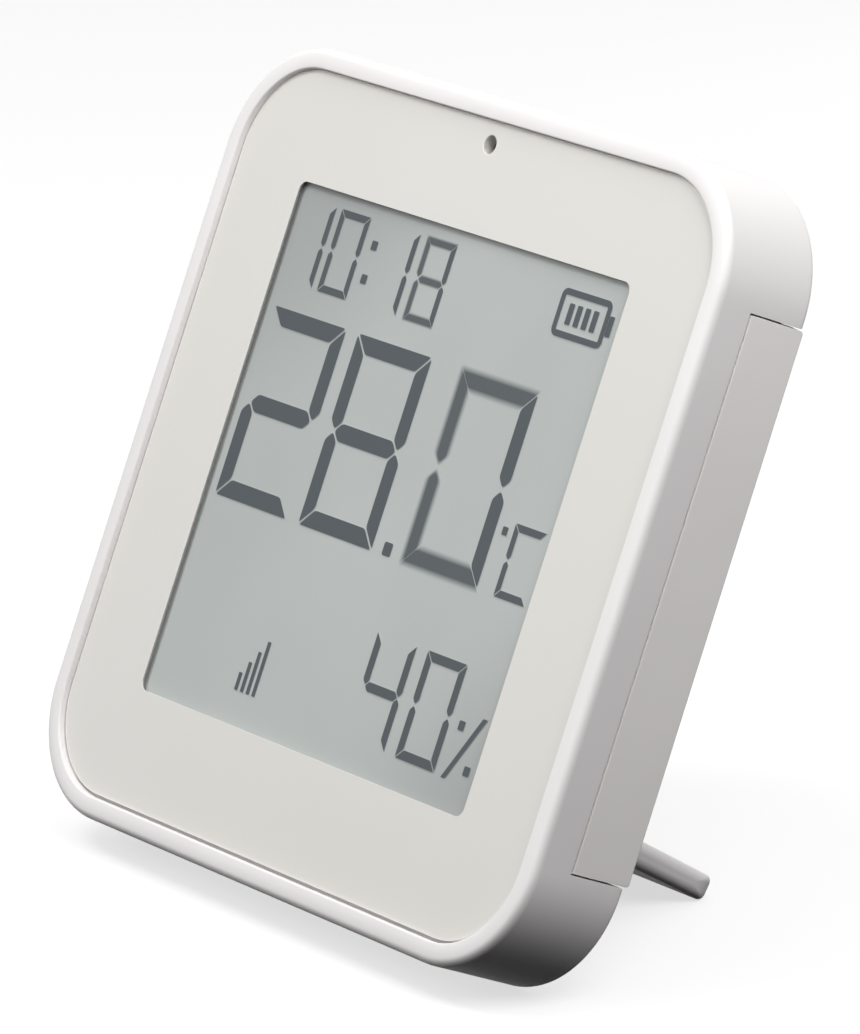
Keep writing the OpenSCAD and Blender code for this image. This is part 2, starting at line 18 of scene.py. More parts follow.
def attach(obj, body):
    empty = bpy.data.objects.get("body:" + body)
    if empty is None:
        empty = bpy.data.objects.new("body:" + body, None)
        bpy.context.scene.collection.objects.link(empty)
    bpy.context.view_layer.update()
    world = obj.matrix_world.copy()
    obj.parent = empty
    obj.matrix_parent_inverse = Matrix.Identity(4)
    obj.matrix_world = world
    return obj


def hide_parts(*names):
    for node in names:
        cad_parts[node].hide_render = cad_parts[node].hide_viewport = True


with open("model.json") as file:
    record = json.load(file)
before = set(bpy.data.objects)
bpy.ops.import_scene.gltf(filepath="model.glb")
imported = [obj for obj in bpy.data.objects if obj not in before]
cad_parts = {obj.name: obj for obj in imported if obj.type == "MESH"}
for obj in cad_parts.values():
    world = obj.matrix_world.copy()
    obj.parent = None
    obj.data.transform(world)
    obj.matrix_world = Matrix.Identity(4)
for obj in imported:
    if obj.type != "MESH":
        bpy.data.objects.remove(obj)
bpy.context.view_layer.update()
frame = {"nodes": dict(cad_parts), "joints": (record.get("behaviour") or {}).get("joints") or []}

# %% [markdown]
# ## The face frame
# The sensor is easiest to think about lying on its back: x to the right, y up the face and
# depth from the rim's front plane towards the back, all in millimetres. The standing frame is
# that one leaned back. The lean comes from the direction in which the cover lifts off, and the
# place from the hinge of the leg, so both follow the CAD part and nothing is fitted by eye.

# %% Face frame
MM = 0.001
joints = {joint["name"]: joint for joint in frame["joints"]}
back_way = np.array(joints["cover_lift"]["axis"], float)
up_way = np.array([0.0, -back_way[2], back_way[1]])
hinge_place = np.array(joints["stand_hinge"]["pos_m"], float) / MM
leg_drop = math.radians(joints["stand_hinge"]["range_deg"][1] - 90)

body_size, corner_r = 70.0, 10.4
half = body_size / 2
leg_t = 2.6
hinge_y, hinge_depth = -half + 15.3, 10.1 - leg_t / 2


def standing(flat):
    """Points (x, y, depth) of the face frame in the standing frame, in metres:
    the hinge's place plus x to the right, y up the leaning face and depth along the cover's way off."""
    flat = np.asarray(flat, float)
    along = flat - np.array([0.0, hinge_y, hinge_depth])
    across = along[..., :1] * np.array([1.0, 0.0, 0.0])
    return (hinge_place + across + along[..., 1:2] * up_way + along[..., 2:3] * back_way) * MM


def lying(points):
    """The way back from the standing frame in metres to (x, y, depth) of the face frame: each axis
    is measured off by a dot product with its direction."""
    along = np.asarray(points, float) / MM - hinge_place
    return np.stack([along[..., 0], along @ up_way + hinge_y, along @ back_way + hinge_depth], -1)


print("lean in degrees:", round(math.degrees(math.asin(up_way[1])), 2))

# %% [markdown]
# ## Outlines, grids and caps
# Nearly every shell here is a closed outline carried through a few depths, so three helpers
# carry the whole model. `outline` rounds the corners of a polygon with quarter circles. A
# `grid` joins a stack of outlines with quads. A `cap` fills the flat between outlines with
# triangles, which is safe because a flat face shades the same however it is cut up.

# %% Outline and edge helpers
QUARTER = math.pi / 2


def outline(corners, radius, inset=0.0, steps=8):
    """Closed outline of a right-angled polygon, anticlockwise: each corner is a quarter circle whose
    centre lies one radius inside both edges (outside for an inner corner). A positive inset draws
    it inwards."""
    corner = np.asarray(corners, float)
    ahead = np.roll(corner, -1, 0) - corner
    ahead /= np.linalg.norm(ahead, axis=1)[:, None]
    behind = np.roll(ahead, 1, 0)
    in_next = np.stack([-ahead[:, 1], ahead[:, 0]], 1)
    in_last = np.stack([-behind[:, 1], behind[:, 0]], 1)
    turn = np.sign(behind[:, 0] * ahead[:, 1] - behind[:, 1] * ahead[:, 0])
    reach = turn * (np.zeros(len(corner)) + radius)
    centre = corner + reach[:, None] * (in_last + in_next)
    a = np.linspace(0, QUARTER, steps + 1)
    arm = np.cos(a)[:, None] * in_last[:, None] + np.sin(a)[:, None] * in_next[:, None]
    return (centre[:, None] - (reach - inset)[:, None, None] * arm).reshape(-1, 2)


def box_corners(half_w, half_h, x=0.0, y=0.0):
    """Four corners of a rectangle, anticlockwise, about (x, y)."""
    return np.array([[-half_w, -half_h], [half_w, -half_h], [half_w, half_h], [-half_w, half_h]]) + [x, y]


def circle(radius, x=0.0, y=0.0, count=48):
    """Closed circle of so many points about (x, y), anticlockwise."""
    a = np.arange(count) * 2 * math.pi / count
    return np.stack([x + radius * np.cos(a), y + radius * np.sin(a)], 1)


def rounded(radius, steps=6):
    """Quarter circle of an edge, from the face to the side: how far in from the side it lies,
    r(1 - sin a), and how far down from the face, r(1 - cos a)."""
    a = np.linspace(0, QUARTER, steps + 1)
    return radius * (1 - np.sin(a)), radius * (1 - np.cos(a))


# %% [markdown]
# ## Collecting a piece
# A piece is gathered from grids and caps in the face frame. Neighbouring patches repeat the
# points on their shared edge, so the piece is welded once at the end, its normals are turned
# outwards and its sharp edges are marked by angle. A weighted-normal modifier then keeps the
# large faces flat and leaves all of the bending to the narrow roundings, as on a real moulding.

# %% Piece helper
# The weld is in metres, as the mesh is, and NEAR in millimetres, as the face frame is.
SHARP = math.radians(40)
WELD, NEAR = 2e-6, 0.01
WHOLE_NET, NET_NEAR = 0, 1e-9


def within(loop, points):
    """Whether points lie inside a closed loop: a ray to the right crosses its edges an odd number
    of times."""
    a, b = loop[None], np.roll(loop, -1, 0)[None]
    p = points[:, None]
    straddles = (a[..., 1] > p[..., 1]) != (b[..., 1] > p[..., 1])
    rise = np.where(b[..., 1] == a[..., 1], 1.0, b[..., 1] - a[..., 1])
    cross_x = a[..., 0] + (p[..., 1] - a[..., 1]) / rise * (b[..., 0] - a[..., 0])
    return (straddles & (p[..., 0] < cross_x)).sum(1) % 2 == 1


class Patches:
    """Grids and caps of one piece, in the face frame, until they are welded into a mesh."""

    def __init__(self):
        self.points, self.faces, self.count = [], [], 0

    def add(self, points, faces):
        """Take in points and the faces between them: the count so far is added to the faces' numbers."""
        self.points.append(np.asarray(points, float).reshape(-1, 3))
        self.faces += (np.asarray(faces) + self.count).tolist()
        self.count += len(self.points[-1])

    def grid(self, points):
        """Quads between closed rows of points (rows, columns, 3): each joins a point to the next in
        its row, and both to the same two in the next row."""
        rows, columns = points.shape[:2]
        i, j = np.arange(rows - 1)[:, None], np.arange(columns)[None]
        j_next = (j + 1) % columns
        quads = [i * columns + j, i * columns + j_next, (i + 1) * columns + j_next, (i + 1) * columns + j]
        self.add(points, np.stack(np.broadcast_arrays(*quads), -1).reshape(-1, 4))

    def ring(self, loops, depths):
        """A stack of outlines of one length, each at its own depth, joined by quads."""
        loops = np.asarray(loops, float)
        depths = np.broadcast_to(np.asarray(depths, float)[:, None, None], loops.shape[:2] + (1,))
        self.grid(np.concatenate([loops, depths], -1))

    def cap(self, outer, holes, depth):
        """Flat fill of an outline apart from its holes, at one depth: a Delaunay net that keeps the
        outlines' edges, less the triangles whose middle lies outside or in a hole."""
        loops = [outer, *holes]
        starts = np.cumsum([0] + [len(loop) for loop in loops])
        edges = [np.stack([s + np.arange(len(q)), s + (np.arange(len(q)) + 1) % len(q)], 1)
                 for s, q in zip(starts, loops)]
        corners = [Vector(p) for p in np.concatenate(loops)]
        net = delaunay_2d_cdt(corners, np.concatenate(edges).tolist(), [], WHOLE_NET, NET_NEAR)
        flat, faces = np.array(net[0]), np.array(net[2])
        middle = flat[faces].mean(1)
        keep = within(outer, middle)
        for hole in holes:
            keep &= ~within(hole, middle)
        self.add(np.concatenate([flat, np.full((len(flat), 1), depth)], 1), faces[keep])

    def mesh(self, name):
        """All patches as one mesh in the standing frame."""
        made = bpy.data.meshes.new(name)
        made.from_pydata(standing(np.concatenate(self.points)).tolist(), [], self.faces)
        return made


def placed(name, data):
    """A new object that holds the data, linked into the scene."""
    made = bpy.data.objects.new(name, data)
    bpy.context.scene.collection.objects.link(made)
    return made


def make_piece(name, patches, body, node, material):
    """Weld the patches into a mesh in the standing frame, shade it, and let it ride on its body in
    the node's place."""
    mesh = patches.mesh(name)
    work = bmesh.new()
    work.from_mesh(mesh)
    bmesh.ops.remove_doubles(work, verts=work.verts, dist=WELD)
    bmesh.ops.dissolve_degenerate(work, edges=work.edges, dist=WELD / 4)
    bmesh.ops.recalc_face_normals(work, faces=work.faces)
    open_edges = sum(not edge.is_manifold for edge in work.edges)
    work.to_mesh(mesh)
    work.free()
    mesh.shade_smooth()
    mesh.set_sharp_from_angle(angle=SHARP)
    mesh.materials.append(material)
    piece = placed(name, mesh)
    piece.modifiers.new("flat_faces_stay_flat", "WEIGHTED_NORMAL").keep_sharp = True
    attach(piece, body)
    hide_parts(node)
    print(name, "faces:", len(mesh.polygons), "open edges:", open_edges)
    return piece


def corner_places(piece):
    """Where the corner points of a piece lie in the face frame."""
    place = np.empty(len(piece.data.vertices) * 3)
    piece.data.vertices.foreach_get("co", place)
    return lying(place.reshape(-1, 3))


def mark(mesh, name, values):
    """Give every corner point of a mesh a number, under a name that a finish can read."""
    mesh.attributes.new(name, "FLOAT", "POINT").data.foreach_set("value", values.astype(np.float32))


# %% [markdown]
# ## Finishes
# Moulded plastic is never one flat colour: it has a faint cloudiness, a fine spark-eroded grain
# and a gloss that wanders a little. One recipe makes all of these from two noises on Object
# coordinates, so the pattern stays on the piece when it moves. An attribute on the piece can add
# painted light: a painted highlight on a rounding, or painted shade in a hollow. Colours are written
# as the 8-bit values one would read off a picture and turned into linear light here.

# %% Shader helpers
NOISE_LOW, NOISE_HIGH = 0.3, 0.7
NO_STRETCH = (1.0, 1.0, 1.0)


def shade(red, green, blue):
    """Linear colour of an 8-bit sRGB colour: the power curve above the short straight start."""
    c = np.array([red, green, blue]) / 255
    return (*np.where(c <= 0.04045, c / 12.92, ((c + 0.055) / 1.055) ** 2.4), 1.0)


def node_of(tree, kind, **values):
    """A new shader node with its settings and inputs filled in."""
    made = tree.nodes.new("ShaderNode" + kind)
    for key, value in values.items():
        if key in made.inputs:
            made.inputs[key].default_value = value
        else:
            setattr(made, key, value)
    return made


def noise_on(tree, scale, detail=2.0, stretch=NO_STRETCH):
    """Noise on Object coordinates: so many cells to the metre, stretched along an axis where asked."""
    where = node_of(tree, "TexCoord")
    mapping = node_of(tree, "Mapping")
    mapping.inputs["Scale"].default_value = stretch
    noise = node_of(tree, "TexNoise", Scale=scale, Detail=detail)
    tree.links.new(where.outputs["Object"], mapping.inputs["Vector"])
    tree.links.new(mapping.outputs["Vector"], noise.inputs["Vector"])
    return noise.outputs["Fac"]


def ranged(tree, source, low, high, start=NOISE_LOW, end=NOISE_HIGH, **settings):
    """A value that runs from low to high while its source, such as a noise, runs from start to end."""
    spread = node_of(tree, "MapRange", **settings)
    for key, value in zip(("From Min", "From Max", "To Min", "To Max"), (start, end, low, high)):
        spread.inputs[key].default_value = value
    tree.links.new(source, spread.inputs["Value"])
    return spread.outputs["Result"]


def feed(tree, value, socket):
    """Link another node's output to a socket, or write a plain number or colour on it."""
    if isinstance(value, bpy.types.NodeSocket):
        tree.links.new(value, socket)
    else:
        socket.default_value = value


def worked(tree, operation, first, second=0.0):
    """What a sum such as MULTIPLY makes of two values, or of the first alone."""
    sum_node = node_of(tree, "Math", operation=operation)
    feed(tree, first, sum_node.inputs[0])
    feed(tree, second, sum_node.inputs[1])
    return sum_node.outputs[0]


def blended(tree, factor, first, second):
    """A colour between two others: first * (1 - factor) + second * factor."""
    mix = node_of(tree, "Mix", data_type="RGBA")
    tree.links.new(factor, mix.inputs["Factor"])
    for name, value in (("A", first), ("B", second)):
        feed(tree, value, next(s for s in mix.inputs if s.name == name and s.type == "RGBA"))
    return next(s for s in mix.outputs if s.type == "RGBA")


# %% Finish recipe
GRAIN_DETAIL, GRAIN_STRENGTH = 3.0, 0.5


def bare_finish(name):
    """A new material with its node tree and its shader."""
    material = bpy.data.materials.new(name)
    material.use_nodes = True
    return material, material.node_tree, material.node_tree.nodes["Principled BSDF"]


def grained(tree, shader, height, strength, depth):
    """Fine relief on a shader's surface: a pattern of heights, so many millimetres deep."""
    bump = node_of(tree, "Bump", Strength=strength, Distance=depth * MM)
    tree.links.new(height, bump.inputs["Height"])
    tree.links.new(bump.outputs["Normal"], shader.inputs["Normal"])


def finish(name, first, second, rough, cloud=60.0, grain=5000.0, depth=0.004, spread=0.04,
           stretch=NO_STRETCH, edge=None, painted_shade_colour=None, **sockets):
    """A finish with detail: two close colours clouded into each other, a gloss that wanders by spread
    about rough, and a grain of so many cells to the metre whose height in millimetres is depth. Where
    the piece has an attribute named edge, its positive values mix in the colour given as edge, a painted
    highlight or painted shade, and its negative ones mix in the darker colour after it, painted shade."""
    material, tree, shader = bare_finish(name)
    for key, value in sockets.items():
        shader.inputs[key.replace("_", " ")].default_value = value
    cloudy = noise_on(tree, cloud)
    fine = noise_on(tree, grain, GRAIN_DETAIL, stretch)
    colour = blended(tree, ranged(tree, cloudy, 0.0, 1.0), first, second)
    # Painted light: the attribute mixes in a painted highlight or painted shade.
    if edge:
        painted_light_mark = node_of(tree, "Attribute", attribute_name="edge").outputs["Fac"]
        colour = blended(tree, painted_light_mark, colour, edge)
        if painted_shade_colour:
            colour = blended(tree, worked(tree, "MULTIPLY", painted_light_mark, -1.0), colour, painted_shade_colour)
    tree.links.new(colour, shader.inputs["Base Color"])
    tree.links.new(ranged(tree, fine, rough - spread, rough + spread), shader.inputs["Roughness"])
    grained(tree, shader, fine, GRAIN_STRENGTH, depth)
    return material


# The casing's edge colour is painted shade, laid on the floor of the groove round the panel.
housing_white = finish("housing_white", shade(241, 238, 238), shade(237, 234, 234), 0.5,
                       edge=shade(188, 187, 186), Specular_IOR_Level=0.06)
cover_white = finish("cover_white", shade(248, 245, 243), shade(244, 241, 239), 0.5, Specular_IOR_Level=0.06)
# The panel's paler edge colour is a painted highlight on its rounded outer edge, and its darker colour is
# painted shade on the wall of the display window.
panel_gloss = finish("panel_gloss", shade(224, 222, 217), shade(221, 219, 213), 0.09, cloud=25.0, grain=900.0,
                     depth=0.0012, spread=0.02, edge=shade(246, 245, 241), painted_shade_colour=shade(188, 186, 183),
                     Coat_Weight=0.35, Coat_Roughness=0.03)
print("finishes:", housing_white.name, panel_gloss.name)

# %% [markdown]
# ## The white casing
# The casing is a ring of wall round the display, closed at its top and bottom ends, with a
# shallow recess on each side where the wings of the rear cover lie flush. One grid makes it: a
# wall section carried round the rounded square. The section has two forms with the same number
# of points, one for the ends and one for the recessed sides, and where they meet, the quads
# between them become the end faces of the recess. It is cut in two where the partition joins it.

# %% Casing sizes
rim_w, ledge_w, wall_t = 1.9, 2.0, 2.6
front_fillet, back_fillet, end_round = 0.62, 0.5, 0.45
deck, ledge_back = 1.25, 2.25
partition_front, partition_back = 5.6, 6.4
seam_inset, seam_depth, seam_gap, wing_t = 0.55, 3.9, 0.15, 1.3
bay_half = half - corner_r - seam_inset
skirt_back, casing_back = 8.6, 9.9
rim_edge, seam_edge = 0.12, 0.1
# The painted shade on the groove's floor fades out a little way up the rim's wall.
groove_floor, groove_slope, groove_shade_fade = 1.05, 0.05, 0.2
panel_gap, panel_clear, panel_shift = 0.15, 0.01, np.array([-0.11, 0.13])
crown_at, crown_r = 1.25, 4.5
notch_half, notch_offset = 3.2, 2.0
seam_rise = np.array([0.0, 0.04, 0.12, 0.22, 0.34, seam_inset])
end_x = np.array([16.0, 8.0, notch_half, notch_half, 0.0])


def end_path(steps=24):
    """Stations round one end, from the right seam over both corners to the left seam: points, inward
    ways, and whether a station lies in the notch for the sensor's sleeve, as the middle ones do."""
    a = np.linspace(0, QUARTER, steps + 1)[1:]
    turn = np.stack([np.cos(a), np.sin(a)], 1)
    seam = np.stack([np.full(len(seam_rise), half), bay_half + seam_rise], 1)
    top = np.stack([end_x, np.full(len(end_x), half)], 1)
    right = np.concatenate([seam, half - corner_r + corner_r * turn, top])
    way = np.concatenate([np.tile([-1.0, 0.0], (len(seam), 1)), -turn, np.tile([0.0, -1.0], (len(top), 1))])
    notch = np.arange(len(right)) >= len(right) - 2
    flip = np.array([-1.0, 1.0])
    return (np.concatenate([right, right[-2::-1] * flip]), np.concatenate([way, way[-2::-1] * flip]),
            np.concatenate([notch, notch[-2::-1]]))


def casing_path(side_count=9):
    """Stations all round the casing, anticlockwise: points, inward ways, end (1 top, -1 bottom, 0 side)
    and notch. The bottom end and the right side are the top end and the left side turned half round."""
    end, way, notch = end_path()
    left = np.stack([np.full(side_count, -half), np.linspace(bay_half, -bay_half, side_count)], 1)
    left_way = np.tile([1.0, 0.0], (side_count, 1))
    points = np.concatenate([end, left, -end, -left])
    ways = np.concatenate([way, left_way, -way, -left_way])
    which = np.repeat([1.0, 0.0, -1.0, 0.0], [len(end), side_count, len(end), side_count])
    return points, ways, which, np.concatenate([notch, np.zeros(len(points) - len(notch), bool)])


path, inward, which_end, in_notch = casing_path()
at_end = which_end != 0
print("casing stations:", len(path))


# %% Casing section
def end_depth(y, edge, radius):
    """Greatest depth at a height y above the middle, where the back edge at that height is rounded off."""
    gap = np.clip(np.abs(y) - edge, 0, radius)
    return casing_back - radius + np.sqrt(radius**2 - (radius - gap) ** 2)


def section_column(end_in, end_deep, side_in, side_deep):
    """One line of the grid: at the ends it runs end_in inside the outline at end_deep, and on the
    sides side_in at side_deep."""
    inset = np.where(at_end, end_in, side_in)
    deep = np.where(at_end, end_deep, side_deep) * np.ones(len(path))
    return np.concatenate([path + inset[:, None] * inward, deep[:, None]], 1)


def casing_grid(rim_lines=6, fillet_steps=10):
    """The casing's grid, column by column: ledge, groove, rim, front rounding, side wall, seam, back,
    bay wall and inside. The rim's crown is a parabola, which falls by (distance from its top)^2 / 2r."""
    ledge_in = np.where(in_notch, notch_offset, rim_w + ledge_w)
    wall_in = np.where(in_notch, notch_offset, wall_t)
    recess = wing_t + seam_gap
    foot = rim_w + panel_gap - panel_clear + inward @ panel_shift
    shelf = ((ledge_in, ledge_back), (ledge_in, deck), (foot, deck), (foot, groove_floor + groove_slope),
             (rim_w, groove_floor), (rim_w, groove_floor - groove_shade_fade))
    columns = [section_column(i, d, i, d) for i, d in shelf]
    edge_in, edge_down = rounded(rim_edge)
    front_in, front_down = rounded(front_fillet, fillet_steps)
    flat_in = np.linspace(rim_w - rim_edge, front_fillet, rim_lines + 2)[1:-1]
    rim_in = np.concatenate([rim_w - edge_in[::-1], flat_in, front_in])
    rim_down = np.concatenate([edge_down[::-1], np.zeros(rim_lines), front_down])
    rim_down += (rim_in - crown_at) ** 2 / (2 * crown_r)
    columns += [section_column(i, d, i, d) for i, d in zip(rim_in, rim_down)]
    lip_in, lip_down = rounded(seam_edge, 4)
    columns += [section_column(0.0, seam_depth - i, d, seam_depth - i) for i, d in zip(lip_in, lip_down)]
    columns += [section_column(0.0, seam_depth + seam_gap, recess, seam_depth),
                section_column(0.0, skirt_back, recess, skirt_back)]
    columns += [section_column(i, casing_back - d, recess, skirt_back)
                for i, d in zip(*(q[::-1] for q in rounded(back_fillet)))]
    columns += [section_column(i, casing_back, i, skirt_back) for i in (recess, wall_t)]
    inner = columns[-1]
    for rise in rounded(end_round)[1][::-1]:
        line = inner.copy()
        line[at_end, 1] = (np.minimum(np.abs(inner[:, 1]), bay_half + rise) * which_end)[at_end]
        columns.append(line)
    for line in columns:
        limit = end_depth(line[:, 1], bay_half, end_round)
        line[:, 2] = np.where(at_end, np.minimum(line[:, 2], limit), line[:, 2])
    for deep in (partition_back, partition_front):
        line = columns[-1].copy()
        line[:, 2] = deep
        columns.append(line)
    columns += [section_column(wall_in, d, wall_in, d) for d in (partition_front, ledge_back)]
    return np.stack(columns)


casing = Patches()
casing_points = casing_grid()
partition_column = len(casing_points) - 4
casing.grid(casing_points[:partition_column + 1])
casing.grid(np.concatenate([casing_points[partition_column + 1:], casing_points[:1]]))
print("casing grid:", casing.count, "points")

# %% [markdown]
# Behind the board the casing has a thin partition, which shows once the cover is off. It is a
# plate with openings for the cell and its contact, the button's switch and the cover's two guide
# posts, and the ends of the four screw bosses stand up from it.

# %% Partition with its openings
cell_y, cell_hole_r = 8.0, 11.6
slot_half, slot_top = 3.0, 21.9
switch_at, switch_half, switch_r = (23.0, 2.0), 2.65, 0.4
post_at, post_hole_r = (24.0, -14.0), 1.4
boss_at, boss_r, boss_back = (28.9, 18.0), 1.9, 7.7


def cell_opening(steps=72):
    """Circle of the cell's opening, cut at the top by the straight slot of the contact."""
    lean_in = math.asin(slot_half / cell_hole_r)
    a = np.linspace(QUARTER + lean_in, 5 * QUARTER - lean_in, steps)
    arc = np.stack([cell_hole_r * np.cos(a), cell_y + cell_hole_r * np.sin(a)], 1)
    return np.concatenate([arc, [[slot_half, slot_top], [-slot_half, slot_top]]])


bay = casing_points[partition_column, :, :2]
openings = [cell_opening(), outline(box_corners(switch_half, switch_half, *switch_at), switch_r)]
openings += [circle(post_hole_r, side * post_at[0], post_at[1], count=24) for side in (-1, 1)]
bosses = [circle(boss_r, sx * boss_at[0], sy * boss_at[1], count=32) for sx in (-1, 1) for sy in (-1, 1)]
casing.cap(bay, openings, partition_front)
casing.cap(bay, openings + bosses, partition_back)
for hole in openings:
    casing.ring([hole, hole], (partition_front, partition_back))
for boss in bosses:
    casing.ring([boss, boss], (partition_back, boss_back))
    casing.cap(boss, [], boss_back)
casing_shell = make_piece("casing_shell", casing, "housing", "front_housing", housing_white)
# Painted shade: the points on the floor of the groove round the panel take the darker edge colour of the
# casing's finish.
groove_painted_shade = np.abs(corner_places(casing_shell)[:, 2] - groove_floor) < groove_slope + NEAR
mark(casing_shell.data, "edge", groove_painted_shade)

# %% [markdown]
# ## The glossy panel
# The front panel is a thin glossy sheet inside the rim. It sits a little off the middle, so the
# groove round it is wider on the right and at the bottom. Its outer edge is softly rounded, and
# the edge of the display window is a fine lip that slopes away behind, so the display seems to
# start right under the surface. It is a plate with two holes whose edges have their own sections.
# An attribute tells the finish where to paint a highlight on the outer edge and where to paint shade on the
# window's wall.

# %% Panel sheet
panel_front, panel_back, panel_round, panel_drop = 0.55, 1.05, 0.42, 0.14
panel_inset = rim_w + panel_gap
window_half, window_y, window_r = (23.4, 23.1), 0.3, 0.9
port_at, port_r, port_edge = (0.0, 31.0), 0.8, 0.1
collar_r, collar_back = 0.95, 1.75
lip_break, lip_t, lip_slope = 0.04, 0.08, 0.3
window_reach, port_reach = 26.0, 2.0


def panel_edge(inset):
    """Outline of the panel, drawn in."""
    side = half - panel_inset
    return outline(box_corners(side, side, *panel_shift), corner_r - panel_inset, inset, steps=24)


def window_edge(inset):
    """Outline of the display window, which grows by the inset."""
    return outline(box_corners(*window_half, 0.0, window_y), window_r, -inset)


def port_rim(inset):
    """Outline of the air port, which grows by the inset."""
    return circle(port_r + inset, *port_at)


panel = Patches()
edge_in, edge_down = rounded(panel_round)
edge_down = edge_down * panel_drop / panel_round
panel.ring([panel_edge(i) for i in (*edge_in, 0.0)], (*(panel_front + edge_down), panel_back))
lip_in, lip_down = rounded(lip_break, 3)
panel.ring([window_edge(i) for i in (*lip_in, 0.0, lip_slope)],
           (*(panel_front + lip_down), panel_front + lip_t, panel_back))
hole_in, hole_down = rounded(port_edge)
panel.ring([port_rim(i) for i in (*hole_in, 0.0, collar_r - port_r, collar_r - port_r)],
           (*(panel_front + hole_down), collar_back, collar_back, panel_back))
panel.cap(panel_edge(panel_round), [window_edge(lip_break), port_rim(port_edge)], panel_front)
panel.cap(panel_edge(0.0), [window_edge(lip_slope), port_rim(collar_r - port_r)], panel_back)
panel_sheet = make_piece("panel_sheet", panel, "housing", "front_panel", panel_gloss)
flat = corner_places(panel_sheet)
by_window = np.abs(flat[:, :2] - [0, window_y]).max(1) < window_reach
by_port = np.hypot(flat[:, 0], flat[:, 1] - port_at[1]) < port_reach
# Painted light: the rounded outer edge gets a painted highlight, the window's wall painted shade, and the air
# port neither.
painted_light_ramp = np.clip((flat[:, 2] - panel_front) / (panel_drop / 2), 0, 1)
mark(panel_sheet.data, "edge", painted_light_ramp * np.where(by_window, -1, ~by_port))

# %% [markdown]
# ## The rear cover
# The cover wraps from side to side between two cross seams. Like the casing it is one grid with
# two sections, a wing section on the sides and a plate section at the ends, closed by a flat
# back and a flat inside. The tray for the leg, the raised land for a mounting strip and the
# button's hole are steps in those flats, each a short ring of its own. At the very end the back is
# made to swell a little towards the hinge of the leg.

# %% Cover sizes
cover_half, cover_in, cover_back = bay_half - seam_gap, 8.9, 10.0
wing_gap, wing_y = 0.14, np.linspace(-16, 16, 5)
wing_front = seam_depth + wing_gap
cover_round, cover_end_round, wing_edge = 0.2, 0.45, 0.1
end_lip, lip_drop = 0.11, 0.06
cover_swell, swell_from, swell_over = 0.3, 0.3, 0.2
flat_half = cover_half - wing_t
tray_low, tray_top, tray_half = -21.35, 8.25, 16.35
finger_half, finger_top = 7.0, 11.85
tray_back, tray_front, tray_wall, tray_end = 7.25, 6.65, 1.6, 1.0
tray_r, tray_edge, tray_fillet = 0.6, 0.18, 0.35
land_half, land_y, land_back, land_r = (25.0, 4.0), 17.875, 10.15, 1.0
post_r, post_front = 1.1, 5.8
button_hole_r = 2.65


def tee(grow_x=0.0, grow_y=0.0):
    """Corners of the tray with its finger notch, anticlockwise, grown sideways and lengthways."""
    x, notch_x = tray_half + grow_x, finger_half + grow_y
    low, shoulder, top = tray_low - grow_y, tray_top + grow_y, finger_top + grow_y
    right = np.array([[x, low], [x, shoulder], [notch_x, shoulder], [notch_x, top]])
    return np.concatenate([right, right[::-1] * [-1, 1]])


def cover_path(end_count=9):
    """Stations round the cover: points, inward ways, and whether a station is on a wing (or on a
    plate end)."""
    near_end = cover_half - np.concatenate([rounded(cover_end_round)[1], [wing_t]])
    y = np.concatenate([-near_end, wing_y, near_end[::-1]])
    x = np.linspace(half - wing_t, wing_t - half, end_count)
    wing = np.stack([np.full(len(y), half), y], 1)
    end = np.stack([x, np.full(len(x), cover_half)], 1)
    way = np.concatenate([np.tile([-1.0, 0.0], (len(y), 1)), np.tile([0.0, -1.0], (len(x), 1))])
    side = np.concatenate([np.ones(len(y), bool), np.zeros(len(x), bool)])
    points = np.concatenate([wing, end])
    return np.concatenate([points, -points]), np.concatenate([way, -way]), np.concatenate([side, side])


def cover_grid():
    """The cover's grid, from the flat of its back round the edge to the flat of its inside. Wing stations go
    down to the wing's front edge and back up inside it, and plate stations only round the plate's edge."""
    points, way, on_wing = cover_path()
    wing_in, wing_down = rounded(cover_round)
    end_in, end_down = rounded(cover_end_round)
    lip_in, lip_down = rounded(wing_edge, 4)
    wing = [(wing_t, cover_back), *zip(wing_in, cover_back - wing_down)]
    wing += list(zip(lip_down, wing_front + lip_in))
    wing += list(zip(wing_t - lip_down[::-1], wing_front + lip_in[::-1]))
    wing += [(wing_t, cover_in), (wing_t, cover_in)]
    plate = [(wing_t, cover_back), *zip(end_in, cover_back - end_down)]
    plate += [(-end_lip, cover_back - cover_end_round - lip_drop)]
    plate += [(-end_lip, cover_in)] * (len(wing) - len(plate) - 1) + [(wing_t, cover_in)]
    rows = []
    for k, (w, p) in enumerate(zip(wing, plate)):
        inset, deep = (np.where(on_wing, w[i], p[i]) for i in (0, 1))
        xy = points + inset[:, None] * way
        if k in (0, len(wing) - 1):
            xy[:, 1] = np.clip(xy[:, 1], -flat_half, flat_half)
        gap = np.clip(cover_half - np.abs(xy[:, 1]), 0, cover_end_round)
        limit = cover_back - cover_end_round + np.sqrt(cover_end_round**2 - (cover_end_round - gap) ** 2)
        rows.append(np.concatenate([xy, np.minimum(deep, limit)[:, None]], 1))
    return np.stack(rows)


def swollen(points):
    """The cover's back stands out a little more towards its lower end, where the leg's hinge lies: a
    slope along y that moves only the points of the back."""
    lift = cover_swell * (0.5 - points[:, 1] / (2 * cover_half))
    weight = np.clip((points[:, 2] - cover_in - swell_from) / swell_over, 0, 1)
    return points + np.stack([0 * lift, 0 * lift, lift * weight], 1)


